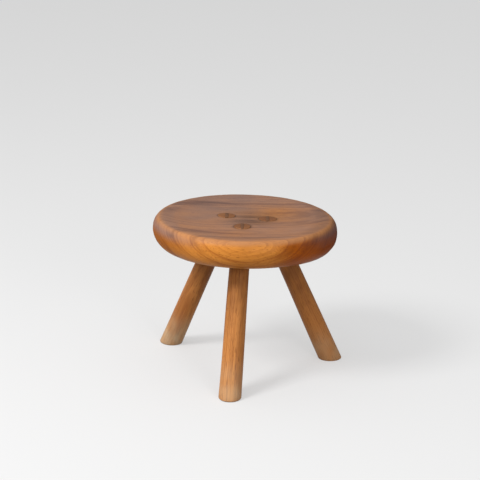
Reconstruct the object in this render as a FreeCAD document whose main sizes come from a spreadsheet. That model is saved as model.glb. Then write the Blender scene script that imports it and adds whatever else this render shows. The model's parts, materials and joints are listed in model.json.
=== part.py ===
"""Low three-legged stool: a dished slab seat on splayed legs with wedged through tenons.

Millimetres, +Z up, standing on the floor at Z = 0, with the origin on the floor under the
middle of the outline. The seat is turned about its own axis, and each leg leans in towards
that axis from its own azimuth.
"""
import FreeCAD, Part
import Sketcher
import math
import os

# Driving dimensions, one cell each
SIZES = (
    ("seat_height", 272),
    ("seat_diameter", 320),
    ("seat_thickness", 50),
    ("widest_drop", 20.5),
    ("underside_inset", 22),
    ("arris_inset", 5),
    ("arris_width", 5),
    ("arris_drop", 4),
    ("rim_width", 10),
    ("flank_width", 80),
    ("dish_depth", 6),
    ("grain_azimuth", 0),
    ("foot_circle_diameter", 330),
    ("mortise_circle_diameter", 76),
    ("front_azimuth", 263.8),
    ("left_azimuth", 142.6),
    ("right_azimuth", 14),
    ("leg_flat_count", 24),
    ("foot_diameter", 39),
    ("shoulder_diameter", 34.5),
    ("neck_diameter", 30),
    ("neck_length", 14),
    ("neck_reveal", 4),
    ("tenon_diameter", 28),
    ("tenon_proud", 0.8),
    ("mortise_clearance", 0.1),
    ("wedge_length", 38),
    ("wedge_head", 6),
    ("wedge_tip", 1.2),
    ("kerf_clearance", 0.1),
    ("kerf_relief", 4),
)
LEGS = ("front", "left", "right")
FULL_TURN = 360
TOUCH = 1e-5
FACING = FreeCAD.Vector(0, 0, 1)

# Points of a sketch's lines and arcs, and its origin, by their numbers
START, END, CENTRE = 1, 2, 3
ORIGIN = (-1, 1)

# Worked out from the driving dimensions. A station is a distance up a leg's axis from the floor,
# and the overrun is how far blanks and cutters pass beyond the finished faces.
WORKED = (
    ("seat_reach", "sizes.seat_diameter / 2"),
    ("underside_reach", "seat_reach - sizes.underside_inset"),
    ("arris_reach", "seat_reach - sizes.arris_inset"),
    ("rim_reach", "arris_reach - sizes.arris_width"),
    ("dish_reach", "rim_reach - sizes.rim_width"),
    ("dish_floor_reach", "dish_reach - sizes.flank_width"),
    ("foot_reach", "sizes.foot_circle_diameter / 2"),
    ("mortise_reach", "sizes.mortise_circle_diameter / 2"),
    ("splay", "atan2(foot_reach - mortise_reach; sizes.seat_height)"),
    ("top_station", "sizes.seat_height / cos(splay)"),
    ("underside_station", "(sizes.seat_height - sizes.seat_thickness) / cos(splay)"),
    ("neck_station", "underside_station - sizes.neck_diameter / 2 * tan(splay) - sizes.neck_reveal"),
    ("shoulder_station", "neck_station - sizes.neck_length"),
    ("overrun", "sizes.foot_diameter"),
    ("butt_diameter", "sizes.foot_diameter"
                      " + (sizes.foot_diameter - sizes.shoulder_diameter) * overrun / shoulder_station"),
    ("wedge_slope", "(sizes.wedge_head - sizes.wedge_tip) / sizes.wedge_length"),
)


def foot_extent(leg, direction):
    """Middle and half width, along x or y, of a level foot, which is an ellipse on the floor."""
    along, across = ("cos", "sin") if direction == "x" else ("sin", "cos")
    azimuth = "sizes.%s_azimuth * 1 deg" % leg
    middle = "foot_reach * %s(%s)" % (along, azimuth)
    half = ("sizes.foot_diameter / 2 * sqrt((%s(%s) / cos(splay))^2 + %s(%s)^2)"
            % (along, azimuth, across, azimuth))
    return middle, half


def seat_axis(direction):
    """Place of the seat's axis that puts the middle of the whole outline on the origin."""
    feet = [foot_extent(leg, direction) for leg in LEGS]
    highest = ["seat_reach"] + ["%s + %s" % foot for foot in feet]
    lowest = ["-seat_reach"] + ["%s - %s" % foot for foot in feet]
    return "-(max(%s) + min(%s)) / 2" % ("; ".join(highest), "; ".join(lowest))


def fill_sheet(name, cells):
    sheet = doc.addObject("Spreadsheet::Sheet", name)
    for row, (alias, content) in enumerate(cells, start=1):
        sheet.set("A%d" % row, content)
        sheet.setAlias("A%d" % row, alias)
        doc.recompute()
    return sheet


def add_bound(kind, name, formulas):
    """Add an object with its properties bound to formulas."""
    item = doc.addObject(kind, name)
    for prop, formula in formulas.items():
        item.setExpression(prop, formula)
    return item


def combine(kind, name, base, tool):
    """Cut, join or intersect two solids, and see that the second one reaches the first."""
    item = doc.addObject("Part::" + kind, name)
    item.Base = base
    item.Tool = tool
    doc.recompute()
    if abs(item.Shape.Volume - base.Shape.Volume) < TOUCH:
        raise RuntimeError("%s leaves %s as it was" % (tool.Label, base.Label))
    return item


# Solids turned about the seat's axis


def pin(sketch, edge, end, across=None, up=None):
    """Bind a point's distances from the sketch's origin to formulas."""
    point = sketch.getPoint(edge, end)
    for kind, formula, drawn in (("DistanceX", across, point.x), ("DistanceY", up, point.y)):
        if formula is not None:
            index = sketch.addConstraint(Sketcher.Constraint(kind, *ORIGIN, edge, end, drawn))
            sketch.setExpression("Constraints[%d]" % index, formula)


def join(sketch, edge, end, next_edge, next_end):
    sketch.addConstraint(Sketcher.Constraint("Coincident", edge, end, next_edge, next_end))


def turned_solid(name, draw):
    """Turn a half section, drawn with X outwards and Y upwards, about the seat's axis."""
    body = add_bound("PartDesign::Body", name, {"Placement.Base.x": "worked.seat_axis_x",
                                                "Placement.Base.y": "worked.seat_axis_y"})
    sketch = body.newObject("Sketcher::SketchObject", name + "_section")
    plane = next(item for item in body.Origin.OriginFeatures if item.Role == "XZ_Plane")
    sketch.AttachmentSupport = (plane, [""])
    sketch.MapMode = "FlatFace"
    draw(sketch)
    turned = body.newObject("PartDesign::Revolution", name + "_turned")
    turned.Profile = sketch
    turned.ReferenceAxis = (sketch, ["V_Axis"])
    turned.Angle = FULL_TURN
    doc.recompute()
    return body


def add_dish(sketch, lift):
    """Flat floor and rising flank of the hollow, raised by lift, as numbers of two edges."""
    width, depth = DRAWN["flank_width"], DRAWN["dish_depth"]
    inner, low = worked.dish_floor_reach, DRAWN["seat_height"] - depth
    radius = (width**2 + depth**2) / (2 * depth)
    circle = Part.Circle(FreeCAD.Vector(inner, low + radius, 0), FACING, radius)
    rise = Part.ArcOfCircle(circle, -math.pi / 2, -math.acos(width / radius))
    floor = sketch.addGeometry(Part.LineSegment(FreeCAD.Vector(0, low, 0), rise.StartPoint))
    flank = sketch.addGeometry(rise)
    floor_level = "sizes.seat_height - sizes.dish_depth + %s" % lift
    join(sketch, floor, END, flank, START)
    pin(sketch, floor, START, "0", floor_level)
    pin(sketch, flank, START, "worked.dish_floor_reach", floor_level)
    pin(sketch, flank, CENTRE, across="worked.dish_floor_reach")
    pin(sketch, flank, END, "worked.dish_reach", "sizes.seat_height + %s" % lift)
    return floor, flank


def drawn_bulge(reach, height):
    """Arc as first drawn, upright at the widest level and ending at a reach and a height."""
    widest = FreeCAD.Vector(worked.seat_reach, DRAWN["seat_height"] - DRAWN["widest_drop"], 0)
    inwards, rise = widest.x - reach, height - widest.y
    radius = (inwards**2 + rise**2) / (2 * inwards)
    circle = Part.Circle(widest - FreeCAD.Vector(radius, 0, 0), FACING, radius)
    turn = math.atan2(rise, radius - inwards)
    return Part.ArcOfCircle(circle, min(turn, 0), max(turn, 0))


def draw_slab(sketch):
    """Half section of the slab: flat underside, bulging side, eased arris, flat rim and hollow."""
    top, bottom = DRAWN["seat_height"], DRAWN["seat_height"] - DRAWN["seat_thickness"]
    lower = drawn_bulge(worked.underside_reach, bottom)
    upper = drawn_bulge(worked.arris_reach, top - DRAWN["arris_drop"])
    middle = FreeCAD.Vector(0, bottom, 0)
    brink = FreeCAD.Vector(worked.rim_reach, top, 0)
    floor, flank = add_dish(sketch, "0")
    underside = sketch.addGeometry(Part.LineSegment(middle, lower.StartPoint))
    lower_side = sketch.addGeometry(lower)
    upper_side = sketch.addGeometry(upper)
    arris = sketch.addGeometry(Part.LineSegment(upper.EndPoint, brink))
    rim = sketch.addGeometry(Part.LineSegment(brink, sketch.getPoint(flank, END)))
    core = sketch.addGeometry(Part.LineSegment(sketch.getPoint(floor, START), middle))
    outline = (underside, lower_side, upper_side, arris, rim)
    for edge, next_edge in zip(outline, outline[1:]):
        join(sketch, edge, END, next_edge, START)
    join(sketch, rim, END, flank, END)
    join(sketch, floor, START, core, START)
    join(sketch, core, END, underside, START)
    underside_level = "sizes.seat_height - sizes.seat_thickness"
    widest_level = "sizes.seat_height - sizes.widest_drop"
    pin(sketch, underside, START, "0", underside_level)
    pin(sketch, underside, END, "worked.underside_reach", underside_level)
    pin(sketch, upper_side, START, "worked.seat_reach", widest_level)
    pin(sketch, arris, START, "worked.arris_reach", "sizes.seat_height - sizes.arris_drop")
    pin(sketch, arris, END, "worked.rim_reach", "sizes.seat_height")
    for side in (lower_side, upper_side):
        pin(sketch, side, CENTRE, up=widest_level)


def draw_hollow(sketch):
    """Half section of the air over the hollow, clear of the tenons' finished ends."""
    floor, flank = add_dish(sketch, "sizes.tenon_proud")
    rim, middle = sketch.getPoint(flank, END), sketch.getPoint(floor, START)
    above = FreeCAD.Vector(0, DRAWN["foot_diameter"], 0)
    outside = sketch.addGeometry(Part.LineSegment(rim, rim + above))
    ceiling = sketch.addGeometry(Part.LineSegment(rim + above, middle + above))
    core = sketch.addGeometry(Part.LineSegment(middle + above, middle))
    outline = (flank, outside, ceiling, core, floor)
    for edge, next_edge in zip(outline, outline[1:]):
        join(sketch, edge, END, next_edge, START)
    pin(sketch, ceiling, START, "worked.dish_reach", "sizes.seat_height + 2 * worked.overrun")
    pin(sketch, ceiling, END, "0", "sizes.seat_height + 2 * worked.overrun")


# Solids standing on a leg's axis


def on_leg(leg, station, turn=""):
    """Formula for a placement at a station of a leg's axis, with Z up the leg."""
    azimuth = "(sizes.%s_azimuth * 1 deg)" % leg
    reach = "(worked.foot_reach - (%s) * sin(worked.splay))" % station
    return ("create(<<placement>>; create(<<vector>>; worked.seat_axis_x + %s * cos%s;"
            " worked.seat_axis_y + %s * sin%s; (%s) * cos(worked.splay));"
            " rotationz%s * rotationy(-worked.splay)%s)"
            % (reach, azimuth, reach, azimuth, station, azimuth, turn))


def round_bar(name, leg, low, high, radius):
    return add_bound("Part::Cylinder", name + leg, {
        "Radius": radius,
        "Height": "%s - (%s)" % (high, low),
        "Placement": on_leg(leg, low),
    })


def shaft_rings():
    """Outlines of an upright shaft, shaved round in narrow flats, from its butt to its neck."""
    return [add_bound("Part::RegularPolygon", name + "_ring", {
        "Polygon": "sizes.leg_flat_count",
        "Circumradius": diameter + " / 2",
        "Placement.Base.z": station,
    }) for name, station, diameter in (
        ("butt", "-worked.overrun", "worked.butt_diameter"),
        ("shoulder", "worked.shoulder_station", "sizes.shoulder_diameter"),
        ("neck", "worked.neck_station", "sizes.neck_diameter"),
    )]


def shaved_shaft(leg, rings):
    shaft = add_bound("Part::Loft", "shaft_" + leg, {"Placement": on_leg(leg, "0")})
    shaft.Sections = rings
    shaft.Solid = shaft.Ruled = shaft.Linearize = True
    return shaft


def tapered_key(name, leg, play, relief):
    """Wedge-shaped key down the tenon's axis, set across the grain of the seat."""
    lead = "(sizes.grain_azimuth * 1 deg - sizes.%s_azimuth * 1 deg)" % leg
    across_grain = "atan2(cos(worked.splay) * sin%s; cos%s)" % (lead, lead)
    turn = " * rotationz(%s) * rotationx(90 deg)" % across_grain
    tip = "(sizes.wedge_tip / 2 + %s)" % play
    head = "(sizes.wedge_head / 2 + worked.wedge_slope * worked.overrun / 2 + %s)" % play
    formulas = {
        "Ymin": "-sizes.wedge_length - %s" % relief,
        "Ymax": "worked.overrun",
        "Placement": on_leg(leg, "worked.top_station", turn),
    }
    for bound, sign in (("min", "-"), ("max", "")):
        formulas["X" + bound] = sign + tip
        formulas["X2" + bound] = sign + head
        formulas["Z" + bound] = sign + "sizes.tenon_diameter"
        formulas["Z2" + bound] = sign + "sizes.tenon_diameter"
    return add_bound("Part::Wedge", name + leg, formulas)


# The pieces


def make_seat():
    """Turned slab, bored through for each leg."""
    bores = doc.addObject("Part::MultiFuse", "mortises")
    bores.Shapes = [round_bar("mortise_", leg, "worked.underside_station - worked.overrun",
                              "worked.top_station + worked.overrun",
                              "sizes.tenon_diameter / 2 + sizes.mortise_clearance") for leg in LEGS]
    return combine("Cut", "seat", turned_solid("slab", draw_slab), bores)


def make_leg_and_wedge(leg, rings, ground, hollow):
    """Leg cut level at the floor, trimmed to the hollow and sawn for its wedge."""
    tenon = round_bar("tenon_", leg, "worked.shoulder_station", "worked.top_station + worked.overrun",
                      "sizes.tenon_diameter / 2")
    blank = combine("Fuse", "blank_" + leg, shaved_shaft(leg, rings), tenon)
    levelled = combine("Cut", "levelled_" + leg, blank, ground)
    trimmed = combine("Cut", "trimmed_" + leg, levelled, hollow)
    kerf = tapered_key("kerf_", leg, "sizes.kerf_clearance", "sizes.kerf_relief")
    return [combine("Cut", "leg_" + leg, trimmed, kerf),
            combine("Common", "wedge_" + leg, trimmed, tapered_key("key_", leg, "0", "0"))]


def check_document():
    doc.recompute()
    failed = [item.Label for item in doc.Objects if {"Invalid", "Error"} & set(item.State)]
    if failed:
        raise RuntimeError("failed: " + ", ".join(failed))


def export(pieces):
    for piece in pieces:
        if piece.Shape.isNull() or not piece.Shape.isValid() or len(piece.Shape.Solids) != 1:
            raise RuntimeError(piece.Label + " is not one sound solid")
    os.makedirs("parts", exist_ok=True)
    for piece in pieces:
        piece.Shape.exportStep("parts/%s.step" % piece.Label)


DRAWN = dict(SIZES)
doc = FreeCAD.newDocument("stool")
fill_sheet("sizes", [(name, str(number)) for name, number in SIZES])
places = (("seat_axis_x", seat_axis("x")), ("seat_axis_y", seat_axis("y")))
worked = fill_sheet("worked", [(name, "=" + formula) for name, formula in WORKED + places])
below_floor = add_bound("Part::Cylinder", "below_floor", {
    "Radius": "2 * (worked.foot_reach + worked.overrun)",
    "Height": "2 * worked.overrun",
    "Placement.Base.z": "-2 * worked.overrun",
})
over_hollow = turned_solid("over_hollow", draw_hollow)
shaft_outlines = shaft_rings()
stool = [make_seat()]
for leg_name in LEGS:
    stool += make_leg_and_wedge(leg_name, shaft_outlines, below_floor, over_hollow)
check_document()
export(stool)
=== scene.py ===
"""Looks of a low three-legged stool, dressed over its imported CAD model. Metres, +Z up."""
import json
import math
import random

import bmesh
import bpy
from bpy.props import FloatProperty, FloatVectorProperty, IntProperty, PointerProperty
from mathutils import Matrix, Quaternion, Vector, kdtree, noise
from mathutils.geometry import interpolate_bezier


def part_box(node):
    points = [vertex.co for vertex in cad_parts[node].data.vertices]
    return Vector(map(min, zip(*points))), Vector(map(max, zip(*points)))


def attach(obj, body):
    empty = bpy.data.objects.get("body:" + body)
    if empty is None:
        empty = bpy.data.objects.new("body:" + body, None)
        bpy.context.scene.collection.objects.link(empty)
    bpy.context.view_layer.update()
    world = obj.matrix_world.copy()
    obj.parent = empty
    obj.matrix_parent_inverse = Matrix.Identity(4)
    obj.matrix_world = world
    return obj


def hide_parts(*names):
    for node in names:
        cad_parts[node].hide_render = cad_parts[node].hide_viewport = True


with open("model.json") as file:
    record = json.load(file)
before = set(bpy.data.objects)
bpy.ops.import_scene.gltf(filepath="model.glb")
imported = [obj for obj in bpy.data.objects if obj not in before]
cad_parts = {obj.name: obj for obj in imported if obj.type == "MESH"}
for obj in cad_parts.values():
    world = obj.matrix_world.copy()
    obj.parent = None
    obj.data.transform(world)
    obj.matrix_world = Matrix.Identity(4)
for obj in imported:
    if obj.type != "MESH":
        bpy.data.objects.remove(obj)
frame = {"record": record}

bl_info = {
    "name": "Three-legged stool",
    "version": (1, 0, 0),
    "blender": (4, 5, 0),
    "location": "View3D > Sidebar > Stool",
    "description": "Dished slab seat, shaved legs, wedges and a plain studio",
    "category": "Object",
}

MM = 0.001
LEGS = ("front", "left", "right")
FULL_TURN = 2 * math.pi
# Up, along the seat's grain and across it
UP = Vector((0, 0, 1))
GRAIN = Vector((1, 0, 0))
ACROSS = Vector((0, 1, 0))

# What the CAD model fixes: its box, the seat's axis and slab, and where the feet stand
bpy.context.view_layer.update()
SEAT_LOW, SEAT_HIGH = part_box("seat")
SEAT_AXIS = ((SEAT_LOW + SEAT_HIGH) / 2).to_2d().to_3d()
SEAT_RADIUS = (SEAT_HIGH.x - SEAT_LOW.x) / 2
WEDGE_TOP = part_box("wedge_front")[1].z
FEET = {leg: Vector(mount["pos_m"]) for leg in LEGS for mount in frame["record"]["mounts"]
        if mount["name"] == "foot_" + leg}

# Fineness of the meshes, the distance at which vertices merge and the bend of a sharp edge
SLAB_STEPS = 320
BORE_STEPS = 72
FACETS_PER_FLAT = 4
EASE_STEPS = 3
MERGE = 0.001 * MM
SHARP = math.radians(38)

# Drop of the seat's arris and of the hollow's brink below the rim
ARRIS_DROP = 1 * MM
BRINK_DROP = 0.9 * MM
# Spare ends of a leg and a wedge, which are cut off level once they lean
SPARE_FOOT = 40 * MM
SPARE_TENON = 60 * MM
SPARE_WEDGE = 20 * MM

# Dents in the seat's edge: the band below the rim that they lie in, how far in their middles are,
# their widths, their shares of the greatest depth, and how many widths they reach
KNOCK_SEED = 11
KNOCK_BAND = 34 * MM
KNOCK_INSET = 2 * MM
KNOCK_WIDTH = (4 * MM, 9 * MM)
KNOCK_SHARE = (0.3, 1)
KNOCK_REACH = 3

# Traces of hand work and use: their strength, the size of their bumps on each axis, and an offset
# that keeps one pattern apart from the next
SLAB_WAVES = (1, (90 * MM, 90 * MM, 60 * MM), 0)
GOUGE_STROKES = (0.45, (34 * MM, 11 * MM, 20 * MM), 5)
SEAT_BLOTCHES = (1, (50 * MM, 30 * MM, 30 * MM), 9)
STAIN_STREAKS = (0.7, (110 * MM, 7 * MM, 20 * MM), 2)
LEG_BLOTCHES = (0.4, (12 * MM, 12 * MM, 20 * MM), 4)
SHAVE_STROKES = {leg: (1, (20 * MM, 20 * MM, 110 * MM), 3 * number) for number, leg in enumerate(LEGS)}

# How a mark or a fuller shape comes in: the strength that it rises to, and the values between which
# it rises. By how far a face looks up
TOP_FACE = (1, 0.35, 0.85)
UPPER_SIDE = (1, -0.1, 0.5)
LOWER_SIDE = (1, 0.1, -0.5)
# Painted shade on the faces that look down, under the seat
UNDER_SHADE = (0.3, -0.2, -0.8)
# By the distance outwards, or to the right, as a share of the seat's radius
OUTER_RING = (1, 0.5, 0.9)
FULL_END = (1, 0.35, 0.9)
# By the bearing, which goes from -1 at the slab's left end to 1 at its right end
LEFT_END = (0.85, 0.4, 0.85)
RIGHT_END = (0.7, 0.5, 0.95)
# Painted shade at the right end, the side away from the key light: on its sides and below, and on its
# upper faces
RIGHT_SIDE_SHADE = (1, 0.22, 0.58)
UPPER_RIGHT_SHADE = (0.45, 0.5, 1)
# By the distance towards the back
# The top is darker towards the back, by more of the patina colour and then of the grime colour
TOP_BACK_DARKENING = (0.26, -150 * MM, 150 * MM)
TOP_BACK_DEEPENING = (0.2, -80 * MM, 30 * MM)
# By the height above the floor
FOOT_SCUFF = (1, 80 * MM, 5 * MM)
TENON_END = (1, WEDGE_TOP - 3 * MM, WEDGE_TOP - 1 * MM)

# Soft patches of the top: their strength, and their middle and reach from the seat's axis
DARK_PATCH = (1.3, (12 * MM, 6 * MM), (38 * MM, 36 * MM))
PALE_PATCH = (0.45, (55 * MM, 50 * MM), (45 * MM, 45 * MM))
# Strength of the patina all over the top, whose grey is also a painted sheen, and of the dirt at the
# floor, and the widths over which wear of the arris, oil at a joint and that dirt fade
TOP_PATINA_AND_SHEEN = 0.66
FLOOR_DIRT = 0.4
WEAR_WIDTH = 5 * MM
OIL_WIDTH = 2.5 * MM
FLOOR_DIRT_HEIGHT = 4 * MM
# Marks of use, and of painted shade, that the meshes carry as attributes
SEAT_MARKS = ("patina", "shaded_right_end", "grime_and_shade", "wear", "stain")
LEG_MARKS = ("grime_and_shade", "dust", "patina")

# Place of the slab's pith from the middle of its underside, and the turn of its grain
SEAT_PITH = Vector((0, 30 * MM, -120 * MM))
SEAT_TURN = math.radians(2)
# Billet of each leg: how far off its pith was, how much darker it is, in tone and in painted shade, and
# how scuffed its foot is
LEG_PITH = {"front": (55 * MM, 20 * MM), "left": (55 * MM, 45 * MM), "right": (55 * MM, 70 * MM)}
# The right leg's darkness is mostly painted shade, where the seat's shadow falls on it
LEG_TONE_AND_SHADE = {"front": 0.04, "left": 0, "right": 0.28}
LEG_SCUFF = {"front": 0.85, "left": 1.7, "right": 0.8}

# Picture: its side and the sensor's width, and where the middle of the stool, half way up it, lands
IMAGE_SIDE = 480
SENSOR = 36
AIM_HEIGHT = 136 * MM
AIM_PIXEL = (243.2, 291)
# Studio, in metres: where its light comes from, and its floor, which is palest a pace to the right
# of the stool and in front of it
KEY_BEARING = Vector((-0.82, -0.58, 1)).normalized()
FILL_BEARING = Vector((0.45, -1, 0.42)).normalized()
ROOM_BEARING = Vector((-0.52, -0.4, 0.76)).normalized()
BOX_DISTANCE = 3
FLOOR_RADIUS = 14
GLOW_MIDDLE = (0.8, -0.6, 0)
WHITE = (1, 1, 1, 1)

# Sockets of a colour Mix node, which go by number
FACTOR, COLOUR_A, COLOUR_B, MIXED = 0, 6, 7, 2


# Settings


def linear(hex_colour):
    """Scene-linear red, green and blue of an sRGB hex value."""
    shares = [int(hex_colour[place:place + 2], 16) / 255 for place in (0, 2, 4)]
    return [share / 12.92 if share <= 0.04045 else ((share + 0.055) / 1.055)**2.4 for share in shares]


def length(name, description, millimetres):
    """Property for a length, whose default is given in millimetres."""
    return FloatProperty(name=name, description=description, default=millimetres * MM, unit="LENGTH")


def colour(name, description, hex_colour):
    """Property for a colour, whose default is given as an sRGB hex value."""
    return FloatVectorProperty(name=name, description=description, default=linear(hex_colour),
                               size=3, min=0, max=1, subtype="COLOR")


class StoolSeat(bpy.types.PropertyGroup):
    """Sizes and colours of the dished slab"""
    widest_drop: length("Widest drop", "Depth of the widest level below the rim", 20.5)
    underside_inset: length("Underside inset", "Width of the lower bulge", 20)
    arris_inset: length("Arris inset", "Distance of the worn arris from the widest level", 9)
    rim_inset: length("Rim inset", "Distance of the rim's crest from the widest level", 15)
    dish_inset: length("Dish inset", "Distance of the hollow's edge from the widest level", 26)
    dish_depth: length("Dish depth", "Depth of the hollow below the rim", 6)
    floor_radius: length("Floor radius", "Radius of the hollow's flat floor", 60)
    mortise_radius: length("Mortise radius", "Radius of the bore for a tenon", 14.15)
    unevenness: length("Unevenness", "How far the hand-worked faces stray", 0.5)
    fullness: length("Fullness", "How much fuller the lower edge is at the right end", 2.5)
    knock: length("Knock", "Depth of the deepest dent in the rounded edge", 0.8)
    knocks: IntProperty(name="Knocks", description="Dents round the edge", default=26, min=0)
    early: colour("Earlywood", "Light part of a growth ring", "df913c")
    late: colour("Latewood", "Dark part of a growth ring", "a65a20")
    heart: colour("Heartwood", "Dark heartwood bands", "803a06")
    # Multiplies painted shade into the slab's right end, the side away from the key light
    shaded_right_end: colour("Dark end", "Cast of the darker wood at the slab's right end", "caa132")
    # The patina's grey is also a painted sheen, the white room mirrored in the top
    patina: colour("Patina", "Wood darkened by use", "80797e")
    # The grime colour also paints the shade at the right end and under the seat
    grime_and_shade: colour("Grime", "Old oil and dirt at the joints and in the grain", "2c1a12")


class StoolLegs(bpy.types.PropertyGroup):
    """Sizes and colours of the legs and their tenons"""
    mortise_circle: length("Mortise circle", "Diameter through the tenons at the rim's level", 76)
    foot_radius: length("Foot radius", "Radius of the leg at the floor", 19.5)
    shoulder_radius: length("Shoulder radius", "Radius of the leg under the neck", 17.25)
    tenon_radius: length("Tenon radius", "Radius of the tenon", 14)
    shoulder: length("Shoulder station", "Distance up the leg to its shoulder", 220)
    neck: length("Neck station", "Distance up the leg to its tenon", 234)
    flats: IntProperty(name="Flats", description="Flats left by the shave", default=24, min=6)
    foot_wear: length("Foot wear", "Height of the worn edge of a foot", 2.2)
    tenon_ease: length("Tenon ease", "Height of the eased edge of a tenon's end", 0.5)
    unevenness: length("Unevenness", "How far the shaved faces stray", 0.45)
    early: colour("Earlywood", "Light part of a growth ring", "d8914e")
    late: colour("Latewood", "Dark part of a growth ring", "a25e2c")
    heart: colour("Heartwood", "Dark heartwood bands", "774022")
    # The grime colour also paints the shade that the seat casts on the upper legs
    grime_and_shade: colour("Grime", "Dirt at the floor and old oil at the joint", "421f0a")
    dust: colour("Dust", "Dry, scuffed wood of the lower leg", "d2b793")
    patina: colour("Patina", "End of a tenon darkened by use", "7a6252")


class StoolWedges(bpy.types.PropertyGroup):
    """Sizes and colours of the wedges"""
    depth: length("Depth", "Length of a wedge below the rim's level", 38)
    head: length("Head", "Thickness at the rim's level", 6)
    tip: length("Tip", "Thickness at the lower end", 1.2)
    clearance: length("Clearance", "Room in the kerf on each side", 0.1)
    proud: length("Proud", "How far a wedge stands above its tenon", 0.35)
    edge: length("Edge", "Width of the softened edges", 0.35)
    light: colour("Light wood", "Light part of the end grain", "8a5a34")
    dark: colour("Dark wood", "Dark part of the end grain", "54331d")


class StoolStage(bpy.types.PropertyGroup):
    """Floor, light and camera"""
    floor: colour("Floor", "Matt paint of the studio floor", "a8a8a8")
    glow: FloatProperty(name="Glow", description="White that the floor adds near the stool", default=0.485)
    far_glow: FloatProperty(name="Far glow", description="White that the floor adds far off", default=0.45)
    glow_reach: length("Glow reach", "Distance at which the floor's white is lowest", 5000)
    ambient: FloatProperty(name="Ambient", description="Level of the light from all round", default=0.29)
    slope: FloatProperty(name="Slope", description="How much lighter the room is on the key's side",
                         default=0.48)
    key: FloatProperty(name="Key", description="Power of the main soft box", default=49, unit="POWER")
    fill: FloatProperty(name="Fill", description="Power of the low soft box", default=18, unit="POWER")
    box_size: length("Soft box size", "Side of a soft box", 850)
    camera_distance: length("Camera distance", "Distance from the camera to the stool", 2818)
    camera_elevation: FloatProperty(name="Camera elevation", description="Angle of view above level",
                                    default=math.radians(18.5), subtype="ANGLE")
    camera_roll: FloatProperty(name="Camera roll", description="Turn of the camera about its view",
                               default=math.radians(1.5), subtype="ANGLE")
    lens: FloatProperty(name="Lens", description="Focal length in millimetres", default=120)


def settings(context, part):
    """Property group of the seat, the legs, the wedges or the stage."""
    return getattr(context.scene, "stool_" + part)


# Mesh helpers


def run_to(outline, end, steps, leave=None, arrive=None):
    """Carry an outline on to a point, straight or bent by a handle (out, up) at each end."""
    start = outline[-1]
    first = start + Vector((leave[0], 0, leave[1])) if leave else start.lerp(end, 1 / 3)
    last = end + Vector((arrive[0], 0, arrive[1])) if arrive else start.lerp(end, 2 / 3)
    outline += interpolate_bezier(start, first, last, end, steps + 1)[1:]


def turned(outline, steps):
    """Closed solid of revolution about Z from points that start and end on that axis."""
    solid = bmesh.new()
    verts = [solid.verts.new(point) for point in outline]
    edges = [solid.edges.new(pair) for pair in zip(verts, verts[1:])]
    bmesh.ops.spin(solid, geom=verts + edges, cent=(0, 0, 0), axis=UP, angle=FULL_TURN,
                   steps=steps, use_merge=True)
    bmesh.ops.remove_doubles(solid, verts=solid.verts[:], dist=MERGE)
    bmesh.ops.recalc_face_normals(solid, faces=solid.faces[:])
    return solid


def cut_level(solid, point, outwards):
    """Take off what lies beyond a level plane, and return the face that closes the cut."""
    cut = bmesh.ops.bisect_plane(solid, geom=solid.verts[:] + solid.edges[:] + solid.faces[:],
                                 plane_co=point, plane_no=outwards, clear_outer=True)
    rim = [item for item in cut["geom_cut"] if isinstance(item, bmesh.types.BMEdge)]
    return bmesh.ops.edgeloop_fill(solid, edges=rim)["faces"]


def level_end(solid, height, outwards, ease):
    """Cut a solid level and close it with a rounded edge that is ease high and wide."""
    end = cut_level(solid, Vector((0, 0, height)) - ease * outwards, outwards)
    for step in range(1, EASE_STEPS + 1):
        turn = step / EASE_STEPS * math.pi / 2
        last = turn - math.pi / 2 / EASE_STEPS
        end = bmesh.ops.extrude_discrete_faces(solid, faces=end)["faces"]
        middle = end[0].calc_center_bounds()
        radius = (end[0].verts[0].co - middle).length
        shrink = 1 - ease * (math.cos(last) - math.cos(turn)) / radius
        bmesh.ops.scale(solid, verts=end[0].verts[:], vec=(shrink, shrink, 1),
                        space=Matrix.Translation(-middle))
        bmesh.ops.translate(solid, verts=end[0].verts[:],
                            vec=ease * (math.sin(turn) - math.sin(last)) * outwards)
    bmesh.ops.recalc_face_normals(solid, faces=solid.faces[:])


def to_object(name, solid):
    """Turn a bmesh into an object of the scene."""
    mesh = bpy.data.meshes.new(name)
    solid.to_mesh(mesh)
    solid.free()
    item = bpy.data.objects.new(name, mesh)
    bpy.context.scene.collection.objects.link(item)
    return item


def cut_away(solid, tools):
    """Cut closed solids out of another one."""
    body = to_object("blank", solid)
    cutters = [to_object("cutter", tool) for tool in tools]
    for cutter in cutters:
        cut = body.modifiers.new("cut", "BOOLEAN")
        cut.object = cutter
        cut.solver = "EXACT"
    result = bmesh.new()
    result.from_object(body, bpy.context.evaluated_depsgraph_get())
    for item in [body] + cutters:
        mesh = item.data
        bpy.data.objects.remove(item)
        bpy.data.meshes.remove(mesh)
    # The many-sided faces along a cut are split evenly, so that none folds over itself later
    many_sided = [face for face in result.faces if len(face.verts) > 4]
    bmesh.ops.triangulate(result, faces=many_sided, ngon_method="BEAUTY")
    return result


def mark_use(solid, marks, share_at, *details):
    """Keep the share of each mark, of use and of painted shade, at each vertex in an attribute, which the
    material reads.
    """
    layers = {mark: solid.verts.layers.float.new(mark) for mark in marks}
    for vert in solid.verts:
        for mark, share in share_at(vert, *details).items():
            vert[layers[mark]] = share


def finish_piece(solid, name, node, material):
    """Make a solid the piece that stands for a CAD node."""
    for face in solid.faces:
        face.smooth = True
    for edge in solid.edges:
        edge.smooth = edge.calc_face_angle(0) < SHARP
    piece = to_object(name, solid)
    piece.data.materials.append(material)
    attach(piece, "root")
    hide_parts(node)


def rise(strength, low, high, value):
    """Smooth rise from nothing at the low value to the strength at the high one."""
    share = min(max((value - low) / (high - low), 0), 1)
    return strength * share * share * (3 - 2 * share)


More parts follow.
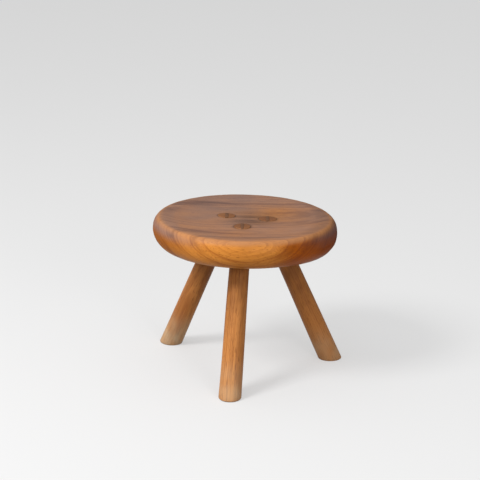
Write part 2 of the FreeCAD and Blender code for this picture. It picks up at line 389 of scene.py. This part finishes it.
def ripple(strength, cell, offset, point):
    """Smooth noise, up and down by the strength, whose bumps are as large as the cell on each axis."""
    place = Vector((point.x / cell[0], point.y / cell[1], point.z / cell[2] + offset))
    return strength * noise.noise(place)


def patch(strength, middle, reach, point):
    """Strength of a soft oval patch at a point."""
    return strength * math.exp(-sum(((point[axis] - middle[axis]) / reach[axis])**2 for axis in (0, 1)))


def leg_place(leg, legs):
    """Matrix that stands a leg, drawn upright from the floor, on its own axis."""
    outwards = (FEET[leg] - SEAT_AXIS).to_2d().to_3d().normalized()
    head = SEAT_AXIS + outwards * legs.mortise_circle / 2 + UP * SEAT_HIGH.z
    return Matrix.LocRotScale(FEET[leg], (head - FEET[leg]).to_track_quat("Z", "Y"), None)


# Materials


def add_node(tree, kind, inputs, **options):
    """Add a node with its options, and give each input a value or a link."""
    item = tree.nodes.new(kind)
    for name, option in options.items():
        setattr(item, name, option)
    for key, value in inputs.items():
        if isinstance(value, bpy.types.NodeSocket):
            tree.links.new(value, item.inputs[key])
        else:
            item.inputs[key].default_value = value
    return item


def blank_material(name):
    """New material with an empty node tree."""
    material = bpy.data.materials.new(name)
    material.use_nodes = True
    material.node_tree.nodes.clear()
    return material, material.node_tree


def grain_pattern(tree, pith, turn, ring):
    """Grain of a log whose pith runs along the turned X axis. Mapping scales are cells to a metre."""
    place = add_node(tree, "ShaderNodeTexCoord", {})
    board = add_node(tree, "ShaderNodeMapping", {"Vector": place.outputs["Object"], "Location": pith,
                                                 "Rotation": turn.to_euler()}, vector_type="TEXTURE")
    # The trunk wanders by up to 8 mm over a hand's length
    sway = add_node(tree, "ShaderNodeMapping", {"Vector": board.outputs[0], "Scale": (4, 11, 11)})
    drift = add_node(tree, "ShaderNodeTexNoise", {"Vector": sway.outputs[0], "Scale": 1, "Detail": 2})
    centred = add_node(tree, "ShaderNodeVectorMath", {0: drift.outputs["Color"], 1: (-0.5, -0.5, -0.5)})
    log = add_node(tree, "ShaderNodeVectorMath", {0: centred.outputs[0], 1: (0, 16 * MM, 16 * MM),
                                                  2: board.outputs[0]}, operation="MULTIPLY_ADD")
    # Rings are counted outwards from the pith. Good and bad years, about three at a time, change
    # their width, by up to a ring and a half in all
    section = add_node(tree, "ShaderNodeVectorMath", {0: log.outputs[0], 1: (0, 1, 1)},
                       operation="MULTIPLY")
    away = add_node(tree, "ShaderNodeVectorMath", {0: section.outputs[0]}, operation="LENGTH")
    radius = away.outputs["Value"]
    years = add_node(tree, "ShaderNodeTexNoise", {"W": radius, "Scale": 0.3 / ring, "Detail": 1},
                     noise_dimensions="1D")
    spread = add_node(tree, "ShaderNodeMath", {0: years.outputs["Fac"], 1: 1.5}, operation="MULTIPLY")
    count = add_node(tree, "ShaderNodeMath", {0: radius, 1: 1 / ring, 2: spread.outputs[0]},
                     operation="MULTIPLY_ADD")
    # Each year darkens slowly to its late line and starts again pale, some years more boldly
    year = add_node(tree, "ShaderNodeMath", {0: count.outputs[0]}, operation="FLOOR")
    boldness = add_node(tree, "ShaderNodeTexWhiteNoise", {"W": year.outputs[0]}, noise_dimensions="1D")
    season = add_node(tree, "ShaderNodeMath", {0: count.outputs[0]}, operation="FRACT")
    late = add_node(tree, "ShaderNodeMath", {0: season.outputs[0], 1: 2.2}, operation="POWER")
    rings = add_node(tree, "ShaderNodeMath", {0: late.outputs[0], 1: boldness.outputs["Value"]},
                     operation="MULTIPLY")
    # Dark heartwood bands about 12 mm wide keep to the rings and fade in and out along the log
    long_cells = add_node(tree, "ShaderNodeMapping", {"Vector": log.outputs[0], "Scale": (5, 20, 20)})
    depth = add_node(tree, "ShaderNodeMath", {0: radius, 1: 1 / (12.5 * MM)}, operation="MULTIPLY")
    heart = add_node(tree, "ShaderNodeTexNoise", {"Vector": long_cells.outputs[0], "W": depth.outputs[0],
                                                  "Scale": 1, "Detail": 3, "Roughness": 0.6},
                     noise_dimensions="4D")
    bands = add_node(tree, "ShaderNodeMapRange", {"Value": heart.outputs["Fac"], "From Min": 0.47,
                                                  "From Max": 0.68}, interpolation_type="SMOOTHSTEP")
    # Fibres 0.8 mm wide and pores 1.1 mm by 14 mm, both coarser than real so that they show
    fine_cells = add_node(tree, "ShaderNodeMapping", {"Vector": log.outputs[0], "Scale": (30, 1200, 1200)})
    fibres = add_node(tree, "ShaderNodeTexNoise", {"Vector": fine_cells.outputs[0], "Scale": 1,
                                                   "Detail": 2})
    pore_cells = add_node(tree, "ShaderNodeMapping", {"Vector": log.outputs[0], "Scale": (70, 900, 900),
                                                      "Location": (7, 3, 5)})
    vessels = add_node(tree, "ShaderNodeTexNoise", {"Vector": pore_cells.outputs[0], "Scale": 1,
                                                    "Detail": 1})
    pores = add_node(tree, "ShaderNodeMapRange", {"Value": vessels.outputs["Fac"], "From Min": 0.58,
                                                  "From Max": 0.72}, interpolation_type="SMOOTHSTEP")
    # End grain is where the face looks along the log
    along = add_node(tree, "ShaderNodeVectorMath", {0: place.outputs["Normal"], 1: turn @ GRAIN},
                     operation="DOT_PRODUCT")
    facing = add_node(tree, "ShaderNodeMath", {0: along.outputs["Value"]}, operation="ABSOLUTE")
    end_grain = add_node(tree, "ShaderNodeMapRange", {"Value": facing.outputs[0], "From Min": 0.45,
                                                      "From Max": 1}, interpolation_type="SMOOTHSTEP")
    return {"ring": rings.outputs[0], "band": bands.outputs[0], "fibre": fibres.outputs["Fac"],
            "pore": pores.outputs[0], "end": end_grain.outputs[0]}


def tint(tree, base, towards, share, strength, blend="MIX"):
    """Mix a colour towards another by a share of a pattern."""
    amount = add_node(tree, "ShaderNodeMath", {0: share, 1: strength}, operation="MULTIPLY")
    mixed = add_node(tree, "ShaderNodeMix", {FACTOR: amount.outputs[0], COLOUR_A: base,
                                             COLOUR_B: (*towards, 1)}, data_type="RGBA", blend_type=blend)
    return mixed.outputs[MIXED]


def wood_colour(tree, grain, early, late, heart):
    """Colour of the bare oiled wood, before use has marked it."""
    shade = (*early, 1)
    for pattern, towards, strength in (("ring", late, 0.9), ("band", heart, 0.5), ("fibre", late, 0.35),
                                       ("pore", heart, 0.6), ("end", heart, 0.65)):
        shade = tint(tree, shade, towards, grain[pattern], strength)
    return shade


def mark_sockets(tree, marks):
    """What the mesh says of each mark, of use and of painted shade."""
    return {mark: add_node(tree, "ShaderNodeAttribute", {}, attribute_name=mark).outputs["Fac"]
            for mark in marks}


def surface(tree, shade, grain, dull, smooth):
    """Satin oil finish: rougher in the fibres and the end grain, with the grain just felt."""
    satin = add_node(tree, "ShaderNodeMapRange", {"Value": grain["fibre"], "To Min": smooth,
                                                  "To Max": dull})
    gloss = add_node(tree, "ShaderNodeMath", {0: grain["end"], 1: 0.4, 2: satin.outputs[0]},
                     operation="MULTIPLY_ADD")
    ridges = add_node(tree, "ShaderNodeMath", {0: grain["ring"], 1: 0.5, 2: grain["fibre"]},
                      operation="MULTIPLY_ADD")
    relief = add_node(tree, "ShaderNodeMath", {0: ridges.outputs[0], 1: grain["pore"]},
                      operation="SUBTRACT")
    bump = add_node(tree, "ShaderNodeBump", {"Height": relief.outputs[0], "Distance": 0.15 * MM,
                                             "Strength": 0.6})
    # Old dry oil mirrors little of the white room, so the specular level is low
    shader = add_node(tree, "ShaderNodeBsdfPrincipled", {
        "Base Color": shade, "Roughness": gloss.outputs[0], "IOR": 1.5, "Specular IOR Level": 0.12,
        "Normal": bump.outputs[0]})
    add_node(tree, "ShaderNodeOutputMaterial", {"Surface": shader.outputs[0]})


def seat_wood(seat):
    """Turned sheesham slab, oiled: golden brown with dark bands, darkened where it is sat on, with a
    painted sheen in the grey of its top and painted shade at its right end and underneath.
    """
    material, tree = blank_material("oiled_sheesham_slab")
    pith = SEAT_AXIS + UP * SEAT_LOW.z + SEAT_PITH
    grain = grain_pattern(tree, pith, Quaternion(UP, SEAT_TURN), ring=3.6 * MM)
    marks = mark_sockets(tree, SEAT_MARKS)
    shade = wood_colour(tree, grain, seat.early, seat.late, seat.heart)
    # Painted shade at the right end, the side away from the key light
    shade = tint(tree, shade, seat.shaded_right_end, marks["shaded_right_end"], 1, "MULTIPLY")
    # Patina of use, whose grey is also a painted sheen of the white room on the top
    shade = tint(tree, shade, seat.patina, marks["patina"], 0.66)
    # Oil has gone deepest into the dark bands and the late lines of the top
    for pattern, strength in (("band", 0.38), ("ring", 0.45)):
        soaked = add_node(tree, "ShaderNodeMath", {0: grain[pattern], 1: marks["patina"]},
                          operation="MULTIPLY")
        shade = tint(tree, shade, seat.grime_and_shade, soaked.outputs[0], strength)
    # The stain in the middle is darkest along the late lines
    lines = add_node(tree, "ShaderNodeMath", {0: grain["ring"], 1: 1.3, 2: 0.6},
                     operation="MULTIPLY_ADD", use_clamp=True)
    stain = add_node(tree, "ShaderNodeMath", {0: lines.outputs[0], 1: marks["stain"]},
                     operation="MULTIPLY")
    # The grime mark also carries painted shade at the right end and under the seat
    for share, towards, strength in ((stain.outputs[0], seat.grime_and_shade, 0.8),
                                     (marks["grime_and_shade"], seat.grime_and_shade, 0.7),
                                     (marks["wear"], seat.early, 0.42)):
        shade = tint(tree, shade, towards, share, strength)
    surface(tree, shade, grain, dull=0.46, smooth=0.32)
    return material


def leg_wood(leg, legs):
    """Shaved sheesham leg, oiled: paler and straight-grained, with a scuffed foot and painted shade up
    towards the seat.
    """
    material, tree = blank_material("oiled_sheesham_leg_" + leg)
    along = (leg_place(leg, legs).to_3x3() @ UP).to_track_quat("X", "Z")
    pith = FEET[leg] + along @ Vector((0, *LEG_PITH[leg]))
    grain = grain_pattern(tree, pith, along, ring=3 * MM)
    marks = mark_sockets(tree, LEG_MARKS)
    # A darker billet, and the painted shade of the right leg, lean towards the colour of heartwood all
    # through
    tone_and_shade = LEG_TONE_AND_SHADE[leg]
    early, late = (Vector(pale).lerp(Vector(legs.heart), tone_and_shade) for pale in (legs.early, legs.late))
    shade = wood_colour(tree, grain, early, late, legs.heart)
    # The grime mark also carries the seat's painted shade on the upper leg
    for mark, towards, strength in (("dust", legs.dust, 0.6), ("grime_and_shade", legs.grime_and_shade, 0.75),
                                    ("patina", legs.patina, 0.35)):
        shade = tint(tree, shade, towards, marks[mark], strength)
    surface(tree, shade, grain, dull=0.56, smooth=0.42)
    return material


def wedge_wood(wedges):
    """Split rosewood wedge, trimmed and oiled: dark end grain, its pores drawn 1 mm wide to show."""
    material, tree = blank_material("oiled_rosewood_wedge")
    place = add_node(tree, "ShaderNodeTexCoord", {})
    specks = add_node(tree, "ShaderNodeTexNoise", {"Vector": place.outputs["Object"], "Scale": 1 / MM,
                                                   "Detail": 2})
    shade = tint(tree, (*wedges.light, 1), wedges.dark, specks.outputs["Fac"], 1)
    bump = add_node(tree, "ShaderNodeBump", {"Height": specks.outputs["Fac"], "Distance": 0.1 * MM})
    shader = add_node(tree, "ShaderNodeBsdfPrincipled", {
        "Base Color": shade, "Roughness": 0.5, "IOR": 1.5, "Normal": bump.outputs[0]})
    add_node(tree, "ShaderNodeOutputMaterial", {"Surface": shader.outputs[0]})
    return material


def floor_paint(stage):
    """Matt studio paint that takes soft shadows, whitened for the camera and for reflections."""
    material, tree = blank_material("matt_pale_studio_paint")
    paint = add_node(tree, "ShaderNodeBsdfDiffuse", {"Color": (*stage.floor, 1)})
    place = add_node(tree, "ShaderNodeTexCoord", {})
    reach = add_node(tree, "ShaderNodeVectorMath", {0: place.outputs["Object"], 1: GLOW_MIDDLE},
                     operation="DISTANCE")
    fade = add_node(tree, "ShaderNodeMapRange", {
        "Value": reach.outputs["Value"], "From Max": stage.glow_reach, "To Min": stage.glow,
        "To Max": stage.far_glow})
    ray = add_node(tree, "ShaderNodeLightPath", {})
    shown = ray.outputs["Is Camera Ray"]
    for kind in ("Is Glossy Ray", "Is Transmission Ray"):
        either = add_node(tree, "ShaderNodeMath", {0: shown, 1: ray.outputs[kind]}, operation="MAXIMUM")
        shown = either.outputs[0]
    level = add_node(tree, "ShaderNodeMath", {0: fade.outputs[0], 1: shown}, operation="MULTIPLY")
    white = add_node(tree, "ShaderNodeEmission", {"Color": WHITE, "Strength": level.outputs[0]})
    both = add_node(tree, "ShaderNodeAddShader", {0: paint.outputs[0], 1: white.outputs[0]})
    add_node(tree, "ShaderNodeOutputMaterial", {"Surface": both.outputs[0]})
    return material


# Seat


def seat_outline(seat):
    """Half section from the middle of the underside round to the middle of the hollow."""
    top, bottom = SEAT_HIGH.z, SEAT_LOW.z
    widest = top - seat.widest_drop
    floor = top - seat.dish_depth
    bulge = seat.underside_inset

    def at(inset, height):
        return Vector((SEAT_RADIUS - inset, 0, height))

    # Each run's end and steps and, where it bends, the handles at its start and at its end
    runs = (
        (at(bulge, bottom), 22),
        (at(0, widest), 14, (0.38 * bulge, 0), (0, -15 * MM)),
        (at(seat.arris_inset, top - ARRIS_DROP), 10, (0, 9 * MM), (5.5 * MM, -3.5 * MM)),
        (at(seat.rim_inset, top), 5, (-1.5 * MM, 0.9 * MM), (2.5 * MM, 0)),
        (at(seat.dish_inset, top - BRINK_DROP), 6, (-3 * MM, 0), (4 * MM, 0.55 * MM)),
        (Vector((seat.floor_radius, 0, floor)), 28, (-25 * MM, -3.45 * MM), (25 * MM, 0)),
        (Vector((0, 0, floor)), 20),
    )
    outline = [Vector((0, 0, bottom))]
    for run in runs:
        run_to(outline, *run)
    return outline


def work_by_hand(slab, seat):
    """Let the faces stray as hand work does, and fill out the lower edge at the right end."""
    slab.normal_update()
    for vert in slab.verts:
        # Broad waves of a slab that isn't quite round, and strokes of the gouge along the grain
        wave = ripple(*SLAB_WAVES, vert.co) + ripple(*GOUGE_STROKES, vert.co)
        right_end = rise(*FULL_END, (vert.co - SEAT_AXIS).x / SEAT_RADIUS)
        fuller = seat.fullness * right_end * rise(*LOWER_SIDE, vert.normal.z)
        vert.co += vert.normal * (seat.unevenness * wave + fuller)


def knock_edge(slab, seat):
    """Press the small dents into the rounded edge that years of use leave there."""
    verts = slab.verts[:]
    finder = kdtree.KDTree(len(verts))
    for number, vert in enumerate(verts):
        finder.insert(vert.co, number)
    finder.balance()
    draw = random.Random(KNOCK_SEED)
    for _ in range(seat.knocks):
        turn = Quaternion(UP, draw.uniform(0, FULL_TURN))
        level = SEAT_HIGH.z - draw.uniform(0, KNOCK_BAND)
        spot = SEAT_AXIS + turn @ Vector((SEAT_RADIUS - KNOCK_INSET, 0, level))
        width = draw.uniform(*KNOCK_WIDTH)
        depth = draw.uniform(*KNOCK_SHARE) * seat.knock
        for _, number, distance in finder.find_range(spot, KNOCK_REACH * width):
            verts[number].co -= verts[number].normal * depth * math.exp(-(distance / width)**2)


def mortise(place, seat):
    """Drill for a mortise, on a leg's axis and right through the slab."""
    bore = bmesh.new()
    bmesh.ops.create_cone(bore, cap_ends=True, segments=BORE_STEPS, radius1=seat.mortise_radius,
                          radius2=seat.mortise_radius, depth=SEAT_HIGH.z)
    bmesh.ops.transform(bore, verts=bore.verts[:], matrix=place @ Matrix.Translation(UP * SEAT_HIGH.z))
    return bore


def seat_marks(vert, seat, uprights):
    """Share of each mark of use, and of painted shade, at a vertex of the seat."""
    out = (vert.co - SEAT_AXIS).to_2d().to_3d()
    blotch = ripple(*SEAT_BLOTCHES, vert.co)
    top = rise(*TOP_FACE, vert.normal.z)
    upper = rise(*UPPER_SIDE, vert.normal.z)
    bearing = out.normalized().x * rise(*OUTER_RING, out.length / SEAT_RADIUS) + 0.1 * blotch
    # Use has darkened the top and its two ends, least in the pale patch, and the top is darker towards the
    # back
    used = TOP_PATINA_AND_SHEEN + rise(*TOP_BACK_DARKENING, out.y) + 0.2 * blotch - patch(*PALE_PATCH, out)
    ends = max(rise(*LEFT_END, -bearing), rise(*RIGHT_END, bearing))
    # The arris is rubbed pale again
    arris = (out.length - SEAT_RADIUS + seat.arris_inset) / WEAR_WIDTH
    rubbed = math.exp(-arris * arris) * (0.7 + 0.3 * blotch)
    # Dirt lies at the joints and the top is darker towards the back; painted shade darkens the right end's
    # upper faces and the faces that look down
    joint = min(abs((upright @ vert.co).to_2d().length - seat.mortise_radius) for upright in uprights)
    back_deepening = top * rise(*TOP_BACK_DEEPENING, out.y) * (1 + 0.5 * blotch)
    right_shade = upper * rise(*UPPER_RIGHT_SHADE, bearing)
    streak = 0.7 + ripple(*STAIN_STREAKS, vert.co)
    return {
        "patina": max(top * used, upper * ends),
        # Painted shade at the right end, off the top
        "shaded_right_end": (1 - top) * rise(*RIGHT_SIDE_SHADE, bearing),
        "grime_and_shade": max(math.exp(-joint / OIL_WIDTH), back_deepening, right_shade, rise(*UNDER_SHADE, vert.normal.z)),
        "wear": rubbed if vert.normal.z > 0 else 0,
        "stain": top * patch(*DARK_PATCH, out) * streak,
    }


class STOOL_OT_seat(bpy.types.Operator):
    """Make the dished slab seat with its three mortises"""
    bl_idname = "stool.seat"
    bl_label = "Seat"

    def execute(self, context):
        seat, legs = settings(context, "seat"), settings(context, "legs")
        places = [leg_place(leg, legs) for leg in LEGS]
        slab = turned(seat_outline(seat), SLAB_STEPS)
        bmesh.ops.translate(slab, verts=slab.verts[:], vec=SEAT_AXIS)
        work_by_hand(slab, seat)
        knock_edge(slab, seat)
        slab = cut_away(slab, [mortise(place, seat) for place in places])
        slab.normal_update()
        mark_use(slab, SEAT_MARKS, seat_marks, seat, [place.inverted() for place in places])
        finish_piece(slab, "dished_seat", "seat", seat_wood(seat))
        return {"FINISHED"}


# Legs and wedges


def shaved_leg(leg, legs):
    """Leg with its tenon, drawn upright, shaved in flats and then stood on its axis."""
    place = leg_place(leg, legs)
    end = (SEAT_HIGH.z + SPARE_TENON) / UP.dot(place.to_3x3() @ UP)
    flare = legs.foot_radius + (legs.foot_radius - legs.shoulder_radius) * SPARE_FOOT / legs.shoulder
    outline = [Vector((0, 0, -SPARE_FOOT)), Vector((flare, 0, -SPARE_FOOT))]
    run_to(outline, Vector((legs.shoulder_radius, 0, legs.shoulder)), steps=72)
    run_to(outline, Vector((legs.tenon_radius, 0, legs.neck)), steps=10,
           leave=(-0.3 * MM, 5 * MM), arrive=(0, -4 * MM))
    run_to(outline, Vector((legs.tenon_radius, 0, end)), steps=16)
    outline.append(Vector((0, 0, end)))
    solid = turned(outline, FACETS_PER_FLAT * legs.flats)
    pitch = FULL_TURN / legs.flats
    solid.normal_update()
    for vert in solid.verts:
        if vert.co.z < legs.neck:
            angle = math.atan2(vert.co.y, vert.co.x) % pitch - pitch / 2
            flat = math.cos(pitch / 2) / math.cos(angle)
            stray = legs.unevenness * ripple(*SHAVE_STROKES[leg], vert.co)
            fade = rise(1, legs.neck, legs.shoulder, vert.co.z)
            vert.co.xy *= 1 + (flat - 1) * fade
            vert.co += vert.normal * stray * fade
    bmesh.ops.transform(solid, verts=solid.verts[:], matrix=place)
    level_end(solid, 0, -UP, legs.foot_wear)
    level_end(solid, WEDGE_TOP, UP, legs.tenon_ease)
    return solid


def wedge_blank(leg, legs, wedges, play, top):
    """Tapered wedge on a tenon's axis, across the seat's grain, cut level at a height."""
    axis = leg_place(leg, legs).to_3x3() @ UP
    thick = ACROSS.cross(axis).normalized()
    wide = axis.cross(thick)
    station = SEAT_HIGH.z / axis.z
    slope = (wedges.head - wedges.tip) / wedges.depth
    # A kerf has play at its two faces, and more beyond the wedge's sides and its tip
    beyond = 4 * play
    half_width = math.sqrt(legs.tenon_radius**2 - wedges.head**2 / 4) + beyond
    solid = bmesh.new()
    bmesh.ops.create_cube(solid, size=2)
    for vert in solid.verts:
        along = SPARE_WEDGE if vert.co.z > 0 else -wedges.depth - beyond
        half_thick = wedges.head / 2 + slope * along / 2 + play
        vert.co = Vector((half_thick * vert.co.x, half_width * vert.co.y, along))
    axes = Matrix((thick, wide, axis)).transposed().to_4x4()
    head = Matrix.Translation(FEET[leg] + axis * station)
    bmesh.ops.transform(solid, verts=solid.verts[:], matrix=head @ axes)
    cut_level(solid, UP * top, UP)
    bmesh.ops.recalc_face_normals(solid, faces=solid.faces[:])
    return solid


def leg_marks(vert, leg, legs, upright):
    """Share of each mark of use, and of painted shade, at a vertex of a leg."""
    height = vert.co.z
    blotch = 0.6 + ripple(*LEG_BLOTCHES, vert.co)
    dirt = FLOOR_DIRT * math.exp(-height / FLOOR_DIRT_HEIGHT)
    # Painted shade from the seat above, with old oil, darkens a leg towards its joint, and less so the
    # rubbed end of its tenon
    joint = rise(1, 0.3 * legs.shoulder, legs.neck, (upright @ vert.co).z)
    patina = rise(*TENON_END, height)
    return {
        "grime_and_shade": max(dirt, joint - 0.7 * patina) * blotch,
        "dust": LEG_SCUFF[leg] * rise(*FOOT_SCUFF, height) * blotch,
        "patina": patina,
    }


class STOOL_OT_legs(bpy.types.Operator):
    """Make the three shaved legs with their sawn tenons"""
    bl_idname = "stool.legs"
    bl_label = "Legs"

    def execute(self, context):
        legs, wedges = settings(context, "legs"), settings(context, "wedges")
        for leg in LEGS:
            kerf = wedge_blank(leg, legs, wedges, wedges.clearance, SEAT_HIGH.z)
            solid = cut_away(shaved_leg(leg, legs), [kerf])
            mark_use(solid, LEG_MARKS, leg_marks, leg, legs, leg_place(leg, legs).inverted())
            finish_piece(solid, "shaved_leg_" + leg, "leg_" + leg, leg_wood(leg, legs))
        return {"FINISHED"}


class STOOL_OT_wedges(bpy.types.Operator):
    """Drive a wedge into the end of each tenon"""
    bl_idname = "stool.wedges"
    bl_label = "Wedges"

    def execute(self, context):
        legs, wedges = settings(context, "legs"), settings(context, "wedges")
        material = wedge_wood(wedges)
        for leg in LEGS:
            solid = wedge_blank(leg, legs, wedges, 0, WEDGE_TOP + wedges.proud)
            bmesh.ops.bevel(solid, geom=solid.edges[:], offset=wedges.edge, offset_type="OFFSET",
                            affect="EDGES", segments=2, profile=0.5, material=-1)
            finish_piece(solid, "tenon_wedge_" + leg, "wedge_" + leg, material)
        return {"FINISHED"}


# Stage


def place_camera(stage):
    """Camera at the angle and distance of the picture."""
    camera = bpy.data.objects.new("camera", bpy.data.cameras.new("camera"))
    camera.data.lens = stage.lens
    camera.data.sensor_width = SENSOR
    target = SEAT_AXIS + UP * AIM_HEIGHT
    level, climb = math.cos(stage.camera_elevation), math.sin(stage.camera_elevation)
    camera.location = target + stage.camera_distance * Vector((0, -level, climb))
    # Turn the view so that the target lands on its pixel, then roll the picture
    focal = stage.lens / SENSOR * IMAGE_SIDE
    pixel = Vector((AIM_PIXEL[0] - IMAGE_SIDE / 2, IMAGE_SIDE / 2 - AIM_PIXEL[1], -focal))
    roll = Quaternion(UP, stage.camera_roll)
    look = (target - camera.location).to_track_quat("-Z", "Y")
    aim = (roll @ pixel).rotation_difference(-UP)
    camera.rotation_mode = "QUATERNION"
    camera.rotation_quaternion = look @ aim @ roll
    return camera


def studio_light(stage):
    """Even white light from all round, stronger from the key's side."""
    world = bpy.data.worlds.new("studio")
    world.use_nodes = True
    tree = world.node_tree
    tree.nodes.clear()
    place = add_node(tree, "ShaderNodeTexCoord", {})
    towards = add_node(tree, "ShaderNodeVectorMath", {0: place.outputs["Generated"], 1: ROOM_BEARING},
                       operation="DOT_PRODUCT")
    level = add_node(tree, "ShaderNodeMath", {
        0: towards.outputs["Value"], 1: stage.slope, 2: stage.ambient},
        operation="MULTIPLY_ADD", use_clamp=True)
    light = add_node(tree, "ShaderNodeBackground", {"Color": WHITE, "Strength": level.outputs[0]})
    add_node(tree, "ShaderNodeOutputWorld", {"Surface": light.outputs[0]})
    return world


class STOOL_OT_stage(bpy.types.Operator):
    """Set up the plain floor, the soft light and the camera"""
    bl_idname = "stool.stage"
    bl_label = "Stage"

    def execute(self, context):
        stage = settings(context, "stage")
        scene = context.scene
        disc = bmesh.new()
        bmesh.ops.create_circle(disc, cap_ends=True, segments=96, radius=FLOOR_RADIUS)
        floor = to_object("studio_floor", disc)
        floor.data.materials.append(floor_paint(stage))
        scene.world = studio_light(stage)
        for name, bearing, power in (("key", KEY_BEARING, stage.key), ("fill", FILL_BEARING, stage.fill)):
            soft_box = bpy.data.objects.new(name, bpy.data.lights.new(name, "AREA"))
            soft_box.data.size = stage.box_size
            soft_box.data.energy = power
            soft_box.location = SEAT_AXIS + BOX_DISTANCE * bearing
            soft_box.rotation_euler = bearing.to_track_quat("Z", "Y").to_euler()
            scene.collection.objects.link(soft_box)
        scene.camera = place_camera(stage)
        scene.collection.objects.link(scene.camera)
        scene.view_settings.view_transform = "Standard"
        return {"FINISHED"}


class STOOL_PT_panel(bpy.types.Panel):
    """Lists each part's operator with its settings"""
    bl_label = "Three-legged stool"
    bl_idname = "STOOL_PT_panel"
    bl_space_type = "VIEW_3D"
    bl_region_type = "UI"
    bl_category = "Stool"

    def draw(self, context):
        for part, operator in zip(PARTS, OPERATORS):
            box = self.layout.box()
            box.operator(operator.bl_idname)
            group = settings(context, part)
            for name in group.__annotations__:
                box.prop(group, name)


PARTS = {"seat": StoolSeat, "legs": StoolLegs, "wedges": StoolWedges, "stage": StoolStage}
OPERATORS = (STOOL_OT_seat, STOOL_OT_legs, STOOL_OT_wedges, STOOL_OT_stage)
CLASSES = (*PARTS.values(), *OPERATORS, STOOL_PT_panel)


def register():
    for item in CLASSES:
        bpy.utils.register_class(item)
    for part, group in PARTS.items():
        setattr(bpy.types.Scene, "stool_" + part, PointerProperty(type=group))


def unregister():
    for part in PARTS:
        delattr(bpy.types.Scene, "stool_" + part)
    for item in reversed(CLASSES):
        bpy.utils.unregister_class(item)


def main():
    register()
    bpy.ops.stool.seat()
    bpy.ops.stool.legs()
    bpy.ops.stool.wedges()
    bpy.ops.stool.stage()


if __name__ == "__main__":
    main()
